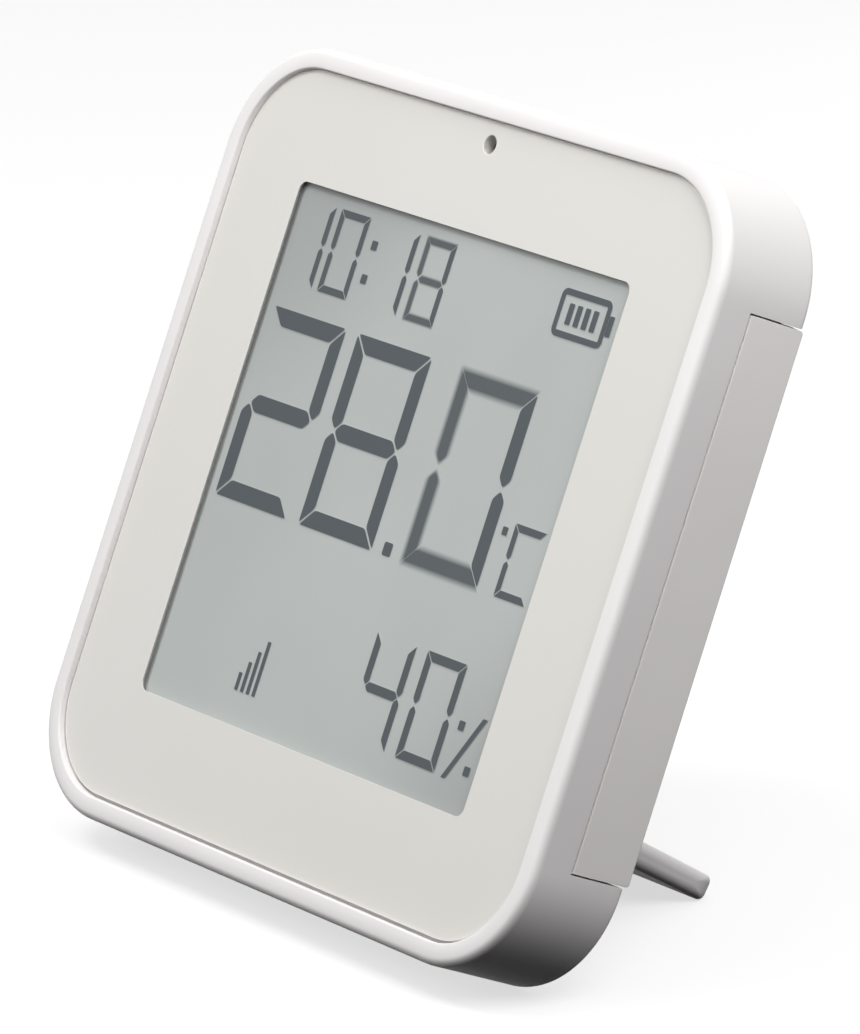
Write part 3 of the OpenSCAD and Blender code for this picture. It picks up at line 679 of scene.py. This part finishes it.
# %% Cover shell
cover = Patches()
cover_points = cover_grid()
cover.grid(cover_points)
back_flat, inner_flat = cover_points[0, :, :2], cover_points[-1, :, :2]
land = box_corners(*land_half, 0.0, land_y)
button_hole = circle(button_hole_r, *switch_at)
edge_in, edge_down = rounded(tray_edge)
cover.cap(back_flat, [outline(tee(), tray_r, -tray_edge), outline(land, land_r),
                      circle(button_hole_r + tray_edge, *switch_at)], cover_back)
floor_in, floor_down = rounded(tray_fillet)
cover.ring([outline(tee(), tray_r, -i) for i in edge_in] + [outline(tee(), tray_r, i) for i in floor_down],
           (*(cover_back - edge_down), *(tray_back + floor_in)))
cover.cap(outline(tee(), tray_r, tray_fillet), [], tray_back)
cover.ring([circle(button_hole_r + i, *switch_at) for i in edge_in] + [button_hole],
           (*(cover_back - edge_down), cover_in))
land_edge = rounded(land_back - cover_back)
cover.ring([outline(land, land_r)] + [outline(land, land_r, i) for i in land_edge[0][::-1]],
           (cover_back, *(land_back - land_edge[1][::-1])))
cover.cap(outline(land, land_r, land_edge[0][0]), [], land_back)
tray_box = outline(tee(tray_wall, tray_end), tray_r)
posts = [circle(post_r, side * post_at[0], post_at[1], count=24) for side in (-1, 1)]
cover.cap(inner_flat, [tray_box, button_hole, *posts], cover_in)
for shape, deep in ((tray_box, tray_front), *((post, post_front) for post in posts)):
    cover.ring([shape, shape], (cover_in, deep))
    cover.cap(shape, [], deep)
cover.points = [swollen(points) for points in cover.points]
make_piece("cover_shell", cover, "cover", "rear_cover", cover_white)

# %% [markdown]
# ## The leg and the button
# The leg is a tapering plate: a rounded nose at the hinge, a blunt rounded tip, and softened side
# edges. Its side section is carried across its width, drawn in a little at both ends for the
# softened edges and shortened there for the tip's round corners. The button is a turned shape, so
# one profile spun round its axis makes it, with a shallow dish for the finger.

# %% Leg plate
leg_half, leg_len, tip_t, tip_r, tip_corner, leg_edge = 16.0, 27.6, 2.3, 0.7, 1.4, 0.95
least_r, corner_lines, plain_lines = 0.05, np.array([0.75, 0.85, 1.0]), [8.0, 0.0]


def leg_section(inset, steps=8):
    """Side section of the leg, drawn in by an inset, anticlockwise: a half circle at the nose, then
    the tip's two quarter circles, whose radius shrinks with the inset."""
    round_r = np.maximum(tip_r - inset, least_r)
    reach, lift = leg_len - inset - round_r, tip_t / 2 - inset - round_r
    nose = np.linspace(QUARTER, 3 * QUARTER, 2 * steps + 1)
    low, high = np.linspace(3 * QUARTER, 4 * QUARTER, steps + 1), np.linspace(0, QUARTER, steps + 1)
    at_hinge = 0 * reach
    arcs = ((nose, at_hinge, at_hinge, leg_t / 2 - inset),
            (low, reach, -lift, round_r), (high, reach, lift, round_r))
    parts = [np.stack([x[:, None] + r[:, None] * np.cos(a), y[:, None] + r[:, None] * np.sin(a)], -1)
             for a, x, y, r in arcs]
    return np.concatenate(parts, 1)


edge_in, edge_down = rounded(leg_edge)
stations = np.concatenate([leg_half - edge_down, leg_half - tip_corner * corner_lines, plain_lines])
insets = np.concatenate([edge_in, np.zeros(len(stations) - len(edge_in))])
over = np.clip(stations - (leg_half - tip_corner), 0, tip_corner)
short = tip_corner - np.sqrt(tip_corner**2 - over**2)
drawn = leg_section(insets)
drawn[..., 0] -= np.where(drawn[..., 0] > leg_len / 2, short[:, None], 0.0)
x = np.concatenate([stations, -stations[-2::-1]])
drawn = np.concatenate([drawn, drawn[-2::-1]])
sin_drop, cos_drop = math.sin(leg_drop), math.cos(leg_drop)
along, thick = drawn[..., 0], drawn[..., 1]
leg_points = np.stack([np.broadcast_to(x[:, None], along.shape),
                       hinge_y - along * sin_drop + thick * cos_drop,
                       hinge_depth + along * cos_drop + thick * sin_drop], -1)
leg = Patches()
leg.grid(leg_points)
for side in (leg_points[0], leg_points[-1]):
    leg.add(side, [np.arange(len(side))])
make_piece("leg_plate", leg, "leg", "stand_leg", housing_white)

# %% Button
button_r, button_back, button_edge, dish_depth = 2.5, 10.0, 0.25, 0.12
flange_r, flange_front, flange_back = 3.2, 8.45, 8.8
foot_r, foot_front = 1.1, 6.75
dish_r = np.linspace(0.0, button_r - button_edge, 8)
dish = button_back - dish_depth * (1 - (dish_r / dish_r[-1]) ** 2)
edge_in, edge_down = rounded(button_edge)
profile_r = np.concatenate([dish_r, button_r - edge_in[1:],
                            [button_r, flange_r, flange_r, foot_r, foot_r, 0.0]])
profile_d = np.concatenate([dish, button_back - edge_down[1:],
                            [flange_back, flange_back, flange_front, flange_front, foot_front, foot_front]])
button = Patches()
button.ring([circle(r, *switch_at) for r in profile_r], profile_d)
make_piece("button_cap", button, "button", "setup_button", housing_white)

# %% [markdown]
# ## The display
# The segments lie in ink-dark grey on a matt grey film. Each segment is a thin flat shape with a
# soft border: an attribute runs from 1 on its inner outline to 0 on its outer one, and the finish
# mixes ink into the film's own grey by it. A narrow border gives a crisp edge, and a wide one the
# smoky look of a segment that is just changing over.

# %% Film and ink finishes
FILM_LIGHT, FILM_DARK, FILM_CORNER_SHADE = shade(186, 191, 189), shade(179, 184, 182), shade(163, 167, 166)
INK = shade(77, 83, 87)
FILM_CLOUD, FILM_GRAIN, FILM_STRENGTH, FILM_DEPTH = 45.0, 9000.0, 0.4, 0.002
FILM_ROUGH, FILM_SPECULAR = (0.5, 0.64), 0.25
# Painted shade on the film towards two opposite corners: where it starts, where it is full, and how far its
# middle is moved.
DARKER_FROM, DARKER_TO, DARKER_SHIFT = 15.0, 33.0, 3.0


def film_colour(tree):
    """Grey of the display film: two close greys, clouded by a coarse noise, and painted shade towards
    two opposite corners: a darker grey mixed in by the distance from the middle along their diagonal."""
    clouded = blended(tree, ranged(tree, noise_on(tree, FILM_CLOUD), 0.0, 1.0), FILM_LIGHT, FILM_DARK)
    diagonal = (np.array([-1.0, 0.0, 0.0]) + up_way) / math.sqrt(2)
    along = node_of(tree, "VectorMath", operation="DOT_PRODUCT")
    along.inputs[1].default_value = diagonal
    tree.links.new(node_of(tree, "TexCoord").outputs["Object"], along.inputs[0])
    middle = float(standing([0.0, window_y, panel_front]) @ diagonal) - DARKER_SHIFT * MM
    away = worked(tree, "ABSOLUTE", worked(tree, "SUBTRACT", along.outputs["Value"], middle))
    darker = ranged(tree, away, 0.0, 1.0, DARKER_FROM * MM, DARKER_TO * MM, interpolation_type="SMOOTHSTEP")
    return blended(tree, darker, clouded, FILM_CORNER_SHADE)


def display_finish(name, inked):
    """Matt finish of the film, with ink mixed in by the attribute where it is asked for."""
    material, tree, shader = bare_finish(name)
    shader.inputs["Specular IOR Level"].default_value = FILM_SPECULAR
    colour = film_colour(tree)
    if inked:
        ink = node_of(tree, "Attribute", attribute_name="ink")
        colour = blended(tree, ink.outputs["Fac"], colour, INK)
    tree.links.new(colour, shader.inputs["Base Color"])
    sparkle = noise_on(tree, FILM_GRAIN)
    tree.links.new(ranged(tree, sparkle, *FILM_ROUGH), shader.inputs["Roughness"])
    grained(tree, shader, sparkle, FILM_STRENGTH, FILM_DEPTH)
    return material


lcd_film = display_finish("lcd_film", False)
lcd_ink = display_finish("lcd_ink", True)
print("display finishes:", lcd_film.name, lcd_ink.name)

# %% [markdown]
# A segment starts as a convex outline. Moving its edges in and out, each by its own amount, gives
# the two outlines of its border. A crisp border is the same all round. A smoky one is wide along
# the sides and closes at the mitres, so that neighbouring segments don't darken each other.

# %% Soft shapes
CRISP, SMOKY_OUT, SMOKY_IN, SMOKY_INK = 0.06, 0.22, 0.15, 0.97
MITRE_GAP, MITRE_BORDER, SLANT = 0.08, 0.02, 0.1
SOFT_CORNER, CORNER_SHARE = 0.2, 0.4


def moved_out(shape, by):
    """A convex outline with each edge moved outwards by its own amount: a corner moves to where its two moved
    edges cross, which is a sum of both edge normals, each weighted by (own amount - c * other) / (1 - c * c)
    for the cosine c between them."""
    by = np.zeros(len(shape)) + by
    ahead = np.roll(shape, -1, 0) - shape
    ahead /= np.linalg.norm(ahead, axis=1)[:, None]
    normal = np.stack([ahead[:, 1], -ahead[:, 0]], 1)
    last, by_last = np.roll(normal, 1, 0), np.roll(by, 1)
    c = (normal * last).sum(1)
    own, other = (by - c * by_last) / (1 - c * c), (by_last - c * by) / (1 - c * c)
    return shape + own[:, None] * normal + other[:, None] * last


def softened(shape, reach, steps=3):
    """Corners replaced by small parabolas: (1-t)^2 a + 2t(1-t) corner + t^2 b, where a and b lie so far along
    the two edges."""
    back, ahead = np.roll(shape, 1, 0) - shape, np.roll(shape, -1, 0) - shape
    a = shape + reach * back / np.linalg.norm(back, axis=1)[:, None]
    b = shape + reach * ahead / np.linalg.norm(ahead, axis=1)[:, None]
    t = np.linspace(0, 1, steps + 1)[:, None]
    arc = (1 - t) ** 2 * a[:, None] + 2 * t * (1 - t) * shape[:, None] + t**2 * b[:, None]
    return arc.reshape(-1, 2)


def soft_shape(shape, stroke, waist=None):
    """Inner outline, outer outline and ink of a shape. Given the height of a digit's waist the border
    is smoky: wide on the sides, short at the points by the waist, and none at the mitres, which close
    up."""
    out, into = CRISP / 2, -CRISP / 2
    if waist is not None:
        ahead = np.roll(shape, -1, 0) - shape
        slanted = np.abs(ahead).min(1) > SLANT * stroke
        at_waist = np.abs(shape[:, 1] + ahead[:, 1] / 2 - waist) < stroke
        close = MITRE_GAP * stroke / math.sqrt(2)
        out = np.where(slanted, close, SMOKY_OUT * stroke)
        into = np.where(slanted & ~at_waist, close - MITRE_BORDER, -SMOKY_IN * stroke)
    inner, outer = moved_out(shape, into), moved_out(shape, out)
    shortest = np.linalg.norm(np.roll(inner, -1, 0) - inner, axis=1).min()
    reach = min(SOFT_CORNER * stroke, CORNER_SHARE * shortest)
    return softened(inner, reach), softened(outer, reach), 1.0 if waist is None else SMOKY_INK


# %% Segment shapes
SEGMENTS_ON = ("1110111", "0010010", "1011101", "1011011", "0111010",
               "1101011", "1101111", "1010010", "1111111", "1111011")
TIME_Y, TIME_SIZE = 14.7, (4.25, 7.4, 0.66)
WARMTH_Y, WARMTH_SIZE, DEGREE_SIZE = -4.7, (10.65, 17.1, 1.6), (4.3, 6.35, 0.66)
DAMP_Y, DAMP_SIZE = -20.2, (5.55, 9.4, 0.85)
CELL_X, CELL_Y = 18.0, 19.45


def digit(value, x, y, w, h, s, smoky=""):
    """Seven-segment digit of width w, height h and stroke s with its lower left corner at (x, y), as
    soft shapes: mitred bars at top and bottom, pointed uprights and a pointed middle bar."""
    g, m = s * MITRE_GAP, h / 2
    bar = np.array([[s + g, h - s], [w - s - g, h - s], [w - g, h], [g, h]])
    upright = np.array([[0, m + s / 2 + g], [s / 2, m + g], [s, m + s / 2 + g], [s, h - s - g], [0, h - g]])
    middle = np.array([[s / 2 + g, m], [s + g, m - s / 2], [w - s - g, m - s / 2],
                       [w - s / 2 - g, m], [w - s - g, m + s / 2], [s + g, m + s / 2]])
    across, down = np.array([-1, 1]), np.array([1, -1])
    shapes = [bar, upright, (upright * across + [w, 0])[::-1], middle, (upright * down + [0, h])[::-1],
              upright * -1 + [w, h], (bar * down + [0, h])[::-1]]
    return [soft_shape(shape + [x, y], s, y + m if str(k) in smoky else None)
            for k, shape in enumerate(shapes) if SEGMENTS_ON[value][k] == "1"]


def block(x, y, w, h):
    """Upright rectangle about (x, y) as a soft shape."""
    return [soft_shape(box_corners(w / 2, h / 2, x, y), min(w, h))]


def display_shapes():
    """Everything that is switched on: time, temperature, humidity, cell level and signal strength."""
    shapes = []
    for value, x, smoky in ((1, -22.35, ""), (0, -17.3, ""), (1, -10.1, ""), (8, -4.85, "01346")):
        shapes += digit(value, x, TIME_Y, *TIME_SIZE, smoky)
    for value, x, smoky in ((2, -22.3, ""), (8, -9.9, ""), (0, 5.0, "0146")):
        shapes += digit(value, x, WARMTH_Y, *WARMTH_SIZE, smoky)
    for value, x in ((4, 5.0), (0, 12.1)):
        shapes += digit(value, x, DAMP_Y, *DAMP_SIZE)
    degree = digit(0, 18.0, WARMTH_Y, *DEGREE_SIZE)
    shapes += [degree[k] for k in (0, 1, 3, 5)]
    # The colon, the decimal point, the degree's dot and the dots and stroke of the per cent sign.
    for x, y, size in ((-11.5, 19.9, 0.85), (-11.5, 16.9, 0.85), (2.8, -4.1, 1.2), (16.9, 0.7, 0.75),
                       (19.25, -15.7, 0.85), (21.65, -19.1, 0.85)):
        shapes += block(x, y, size, size)
    slash = np.array([[18.6, -20.3], [19.22, -20.3], [22.3, -14.5], [21.68, -14.5]])
    shapes.append(soft_shape(slash, 0.7))
    # The bars inside the cell's frame, the rising bars of the signal and the cell's knob.
    for k in range(4):
        shapes += block(16.35 + 1.1 * k, CELL_Y, 0.72, 1.85)
        shapes += block(-11.15 + 0.85 * k, -19.9 + 0.55 * k + 0.8, 0.5, 1.6 + 1.1 * k)
    return shapes + block(21.77, CELL_Y, 0.68, 1.8)


print("display shapes:", len(display_shapes()))

# %% Segment mesh
film_front, ink_front, SMOKY_SINK = 1.10, 1.06, 0.03
cell_frame = (CELL_X, CELL_Y, 3.42, 2.08, 0.7, 0.58)

inks, ink = Patches(), []
for inner, outer, strength in display_shapes():
    top = ink_front + (SMOKY_SINK if strength < 1 else 0.0)
    start, count = inks.count, len(inner)
    inks.ring([inner, outer, outer], (top, top, film_front))
    inks.add(np.empty((0, 3)), [np.arange(count) - inks.count + start])
    inks.add(np.empty((0, 3)), [np.arange(count)[::-1] - inks.count + start + 2 * count])
    ink.append(np.repeat([strength, 0.0, 0.0], count))
x, y, half_w, half_h, r, stroke = cell_frame
corners = box_corners(half_w, half_h, x, y)
insets = (-CRISP / 2, CRISP / 2, stroke - CRISP / 2, stroke + CRISP / 2)
inks.ring([outline(corners, r, i) for i in (insets[0], *insets, insets[-1], insets[0])],
          (film_front, *[ink_front] * 4, film_front, film_front))
ink.append(np.repeat([0.0, 0.0, 1.0, 1.0, 0.0, 0.0, 0.0], len(outline(corners, r))))

mesh = inks.mesh("display_ink")
mark(mesh, "ink", np.concatenate(ink))
mesh.materials.append(lcd_ink)
display_ink = placed("display_ink", mesh)
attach(display_ink, "housing")
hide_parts("lcd_segments")
print("display ink faces:", len(mesh.polygons))

# %% [markdown]
# ## Finishes of the inner pieces
# The inner pieces keep their CAD meshes, whose flat faces and plain cylinders are what the real
# pieces have. Each gets its own finish: woven board under solder mask, layered rubber, drawn and
# plated metal, fired ceramic, foam and moulded epoxy.

# %% Inner finishes
inner_finishes = {
    "panel_adhesive": finish("adhesive", shade(222, 219, 212), shade(212, 208, 200), 0.6, grain=3000.0),
    "sensor_gasket": finish("foam", shade(78, 78, 80), shade(66, 66, 69), 0.9, cloud=900.0, grain=4000.0,
                            depth=0.03),
    "lcd_front_polarizer": lcd_film,
    "lcd_front_glass": finish("lcd_glass", shade(202, 213, 211), shade(196, 208, 206), 0.06, depth=0.0005,
                              spread=0.02),
    "lcd_reflector": finish("reflector", shade(176, 180, 178), shade(168, 172, 170), 0.35, Metallic=0.8),
    "lcd_holder": finish("holder_plastic", shade(232, 231, 226), shade(226, 225, 219), 0.5),
    "zebra_strip_top": finish("zebra_rubber", shade(222, 172, 162), shade(88, 72, 72), 0.7, cloud=2600.0,
                              stretch=(1.0, 0.05, 0.05)),
    "main_pcb": finish("board_green", shade(40, 104, 66), shade(30, 88, 54), 0.3, cloud=700.0, grain=2500.0,
                       depth=0.01),
    "pcb_screws": finish("plated_steel", shade(196, 198, 202), shade(184, 186, 191), 0.3, Metallic=1.0),
    "climate_sensor_chip": finish("chip_black", shade(44, 44, 47), shade(36, 36, 39), 0.55, grain=7000.0),
    "chip_antenna": finish("chip_ceramic", shade(222, 205, 176), shade(196, 168, 124), 0.5, cloud=700.0),
    "battery_holder": finish("holder_black", shade(58, 58, 62), shade(50, 50, 54), 0.5),
    "coin_cell": finish("cell_steel", shade(206, 208, 212), shade(196, 199, 203), 0.26, grain=2600.0,
                        stretch=(1.0, 0.06, 0.06), Metallic=1.0),
    "contact_positive": finish("contact_gold", shade(222, 192, 112), shade(208, 176, 96), 0.28, Metallic=1.0),
}
same_finish = {
    "lcd_front_glass": ["lcd_rear_glass"],
    "zebra_strip_top": ["zebra_strip_bottom"],
    "climate_sensor_chip": ["radio_chip", "lcd_driver_chip", "chip_resistors"],
    "chip_antenna": ["chip_capacitors"],
    "pcb_screws": ["crystal", "tact_switch", "hinge_pin"],
    "contact_positive": ["contact_negative"],
}
for other, names in same_finish.items():
    inner_finishes.update(dict.fromkeys(names, inner_finishes[other]))
for name, material in inner_finishes.items():
    cad_mesh = frame["nodes"][name].data
    cad_mesh.materials.clear()
    cad_mesh.materials.append(material)
print("inner pieces finished:", len(inner_finishes))

# %% [markdown]
# ## Floor, light and camera
# The sensor stands on a plain white floor. A soft lamp at the upper left and a larger one in front
# give most of the light. A small one above the right side brightens that side, and a weak one
# behind keeps the back from going dark. The room adds some light from above. The floor and the
# room show as white to the camera and in reflections, while the light on the object stays at a
# plain level. The camera looks from the right and a little above, far away through a long lens.

# %% Floor
WHITE = (1.0, 1.0, 1.0, 1.0)
FLOOR_GLOW, FLOOR_SEEN, FLOOR_BOUNCE, FLOOR_ROUGH = 0.66, 0.42, 0.0, 0.8
floor_reach = 6.0
floor_mesh = bpy.data.meshes.new("floor")
floor_mesh.from_pydata([(x, y, 0.0) for x, y in box_corners(floor_reach, floor_reach)], [], [(0, 1, 2, 3)])
floor = placed("floor", floor_mesh)


def seen_or_reflected(tree):
    """1 for rays from the camera, reflections and transmission, and 0 for the light that falls on
    surfaces: the largest of three of Light Path's marks."""
    rays = node_of(tree, "LightPath").outputs
    total = rays["Is Camera Ray"]
    for name in ("Is Glossy Ray", "Is Transmission Ray"):
        total = worked(tree, "MAXIMUM", total, rays[name])
    return total


floor_white, tree, floor_shader = bare_finish("floor_white")
seen = seen_or_reflected(tree)
bounce, white = ((level, level, level, 1.0) for level in (FLOOR_BOUNCE, FLOOR_SEEN))
tree.links.new(blended(tree, seen, bounce, white), floor_shader.inputs["Base Color"])
tree.links.new(worked(tree, "MULTIPLY", seen, FLOOR_GLOW), floor_shader.inputs["Emission Strength"])
floor_shader.inputs["Emission Color"].default_value = WHITE
floor_shader.inputs["Roughness"].default_value = FLOOR_ROUGH
floor_shader.inputs["Specular IOR Level"].default_value = 0.0
floor_mesh.materials.append(floor_white)
print("floor reaches", floor_reach, "m each way")

# %% Light
ROOM_LEVELS, ROOM_HEIGHTS = (0.0, 0.82), (0.2, 1.0)
room = bpy.data.worlds.new("room")
room.use_nodes = True
bpy.context.scene.world = room
tree = room.node_tree
room_light = node_of(tree, "Background", Color=WHITE)
height = node_of(tree, "SeparateXYZ")
tree.links.new(node_of(tree, "TexCoord").outputs["Generated"], height.inputs[0])
brighter_above = ranged(tree, height.outputs["Z"], *ROOM_LEVELS, *ROOM_HEIGHTS)
tree.links.new(brighter_above, room_light.inputs["Strength"])
room_white = node_of(tree, "Background", Color=WHITE, Strength=1.0)
either = node_of(tree, "MixShader")
tree.links.new(seen_or_reflected(tree), either.inputs["Fac"])
tree.links.new(room_light.outputs[0], either.inputs[1])
tree.links.new(room_white.outputs[0], either.inputs[2])
tree.links.new(either.outputs[0], tree.nodes["World Output"].inputs["Surface"])


def lamp(name, place, aim, size, watts):
    """Square soft lamp of a size at a place, facing an aim, all in millimetres."""
    data = bpy.data.lights.new(name, "AREA")
    data.size, data.energy = size * MM, watts
    made = placed(name, data)
    made.location = Vector(place) * MM
    made.rotation_euler = (Vector(aim) - Vector(place)).to_track_quat("-Z", "Y").to_euler()


lamp("key_light", (-110, -200, 400), (0, 0, 35), 140, 0.66)
lamp("front_light", (-150, -420, 250), (0, 0, 35), 300, 0.86)
lamp("side_light", (175, -20, 200), (25, 0, 45), 130, 0.32)
lamp("back_light", (-140, 380, 40), (0, 10, 30), 240, 0.25)

# %% Camera
eye, aim, tilt = (556.08, -411.75, 215.29), (8.23, -6.52, 35.90), math.radians(0.85)
picture_h, focal_px = 1034, 8425.8
camera = placed("camera", bpy.data.cameras.new("camera"))
camera.data.lens = focal_px / picture_h * camera.data.sensor_width
camera.data.clip_start, camera.data.clip_end = 0.05, 50.0
camera.location = Vector(eye) * MM
facing = (Vector(aim) - Vector(eye)).to_track_quat("-Z", "Y")
camera.rotation_euler = (facing @ Quaternion((0.0, 0.0, 1.0), tilt)).to_euler()
bpy.context.scene.camera = camera
bpy.context.scene.view_settings.view_transform = "Standard"
print("lens in mm:", round(camera.data.lens, 1))
